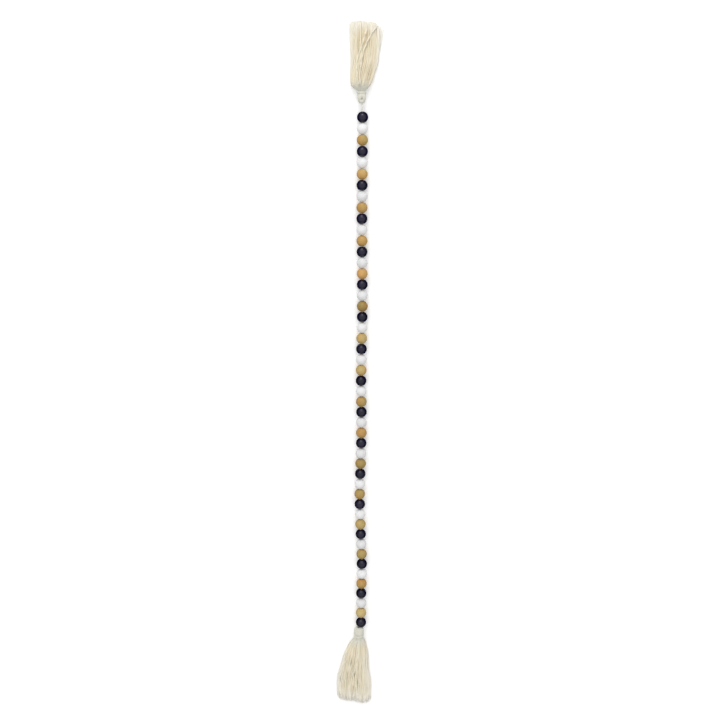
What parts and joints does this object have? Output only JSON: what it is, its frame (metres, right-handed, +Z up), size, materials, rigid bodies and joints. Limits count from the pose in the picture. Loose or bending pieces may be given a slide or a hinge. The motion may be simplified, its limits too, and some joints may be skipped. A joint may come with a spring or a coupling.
{
  "type": "wood bead garland",
  "caption": "Garland of round wood beads in navy, white and natural wood on a cotton cord, with a cream tassel at each end, lying straight.",
  "frame": {"origin": "Where the middle bead touches the surface that the garland lies on.", "axes": "+Y runs along the garland to the tassel with the bare cord before it, +X to the right of it seen from above, +Z up from the surface."},
  "size_m": [0.066, 1.024, 0.016],
  "materials": {
    "bead_navy": "turned wood painted near-black navy with a satin sheen",
    "bead_white": "turned wood painted chalky white, low sheen",
    "bead_natural": "turned natural wood, honey brown with fine grain, lightly polished",
    "cord_cotton": "twisted cotton cord, pale, unbleached",
    "tassel_cotton": "soft twisted cotton yarn, cream"
  },
  "bodies": {
    "root": {"bead_01": "bead_navy", "bead_02": "bead_white", "bead_03": "bead_natural", "bead_04": "bead_navy", "bead_05": "bead_white", "bead_06": "bead_natural", "bead_07": "bead_navy", "bead_08": "bead_white", "bead_09": "bead_natural", "bead_10": "bead_navy", "bead_11": "bead_white", "bead_12": "bead_natural", "bead_13": "bead_navy", "bead_14": "bead_white", "bead_15": "bead_natural", "bead_16": "bead_navy", "bead_17": "bead_white", "bead_18": "bead_natural", "bead_19": "bead_navy", "bead_20": "bead_white", "bead_21": "bead_natural", "bead_22": "bead_navy", "bead_23": "bead_white", "bead_24": "bead_natural", "bead_25": "bead_navy", "bead_26": "bead_white", "bead_27": "bead_natural", "bead_28": "bead_navy", "bead_29": "bead_white", "bead_30": "bead_natural", "bead_31": "bead_navy", "bead_32": "bead_white", "bead_33": "bead_natural", "bead_34": "bead_navy", "bead_35": "bead_white", "bead_36": "bead_natural", "bead_37": "bead_navy", "bead_38": "bead_white", "bead_39": "bead_natural", "bead_40": "bead_navy", "bead_41": "bead_white", "bead_42": "bead_natural", "bead_43": "bead_navy", "bead_44": "bead_white", "bead_45": "bead_natural", "bead_46": "bead_navy", "bead_47": "bead_white", "bead_48": "bead_natural", "bead_49": "bead_navy", "cord": "cord_cotton", "tassel_top": "tassel_cotton", "tassel_bottom": "tassel_cotton", "binding_top": "cord_cotton", "binding_bottom": "cord_cotton"}
  },
  "joints": []
}
